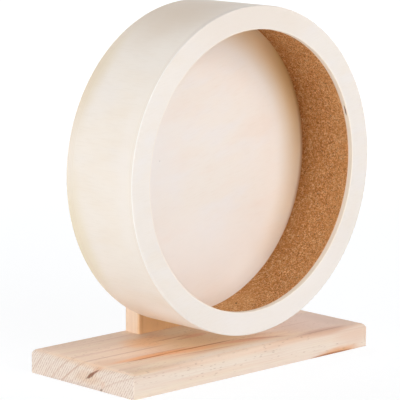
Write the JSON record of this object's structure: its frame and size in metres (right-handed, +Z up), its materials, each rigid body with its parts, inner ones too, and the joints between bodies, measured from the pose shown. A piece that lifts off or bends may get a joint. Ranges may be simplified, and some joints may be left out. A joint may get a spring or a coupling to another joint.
{
  "type": "rodent exercise wheel",
  "caption": "Wooden rodent running wheel: a cork-lined plywood drum, open at the front, that turns on ball bearings before a pine stand.",
  "frame": {"origin": "centre of the base board's underside", "axes": "+X along the base board, -Y out of the wheel's open front, +Z up; the axle is parallel to Y"},
  "size_m": [0.28, 0.1344, 0.313],
  "materials": {
    "pine": "sanded, unvarnished pine",
    "beech": "sanded, unvarnished beech",
    "birch_plywood": "sanded pale plywood sheet",
    "bent_plywood": "sanded pale bent plywood",
    "cork": "pressed cork granulate",
    "zinc_plated_steel": "bright zinc plate",
    "bearing_steel": "ground steel",
    "nylon": "natural nylon",
    "seal_rubber": "matt black nitrile rubber"
  },
  "bodies": {
    "stand": {"base_board": "pine", "upright_board": "pine", "stand_dowels": "beech", "stand_screws": "zinc_plated_steel", "axle_bolt": "zinc_plated_steel", "front_shim": "zinc_plated_steel", "rear_shim": "zinc_plated_steel", "bearing_nut": "zinc_plated_steel", "front_washer": "zinc_plated_steel", "rear_washer": "zinc_plated_steel", "lock_nut": "zinc_plated_steel", "lock_nut_insert": "nylon", "front_inner_race": "bearing_steel", "rear_inner_race": "bearing_steel"},
    "wheel": {"front_outer_race": "bearing_steel", "rear_outer_race": "bearing_steel", "front_seals": "seal_rubber", "rear_seals": "seal_rubber", "hub_block": "beech", "hub_screws": "zinc_plated_steel", "back_disc": "birch_plywood", "rim_band": "bent_plywood", "cork_lining": "cork", "front_ring": "birch_plywood"},
    "front_ball_set": {"front_cage": "nylon", "front_balls": "bearing_steel"},
    "rear_ball_set": {"rear_cage": "nylon", "rear_balls": "bearing_steel"}
  },
  "joints": [
    {"name": "wheel_spin", "type": "hinge", "parent": "stand", "child": "wheel", "pos_m": [0, 0, 0.173], "axis": [0, 1, 0], "continuous": true},
    {"name": "front_ball_set_spin", "type": "hinge", "parent": "stand", "child": "front_ball_set", "pos_m": [0, 0, 0.173], "axis": [0, 1, 0], "continuous": true},
    {"name": "rear_ball_set_spin", "type": "hinge", "parent": "stand", "child": "rear_ball_set", "pos_m": [0, 0, 0.173], "axis": [0, 1, 0], "continuous": true}
  ],
  "couplings": [
    {"joint": "front_ball_set_spin", "follows": "wheel_spin", "ratio": 0.6323},
    {"joint": "rear_ball_set_spin", "follows": "wheel_spin", "ratio": 0.6323}
  ]
}
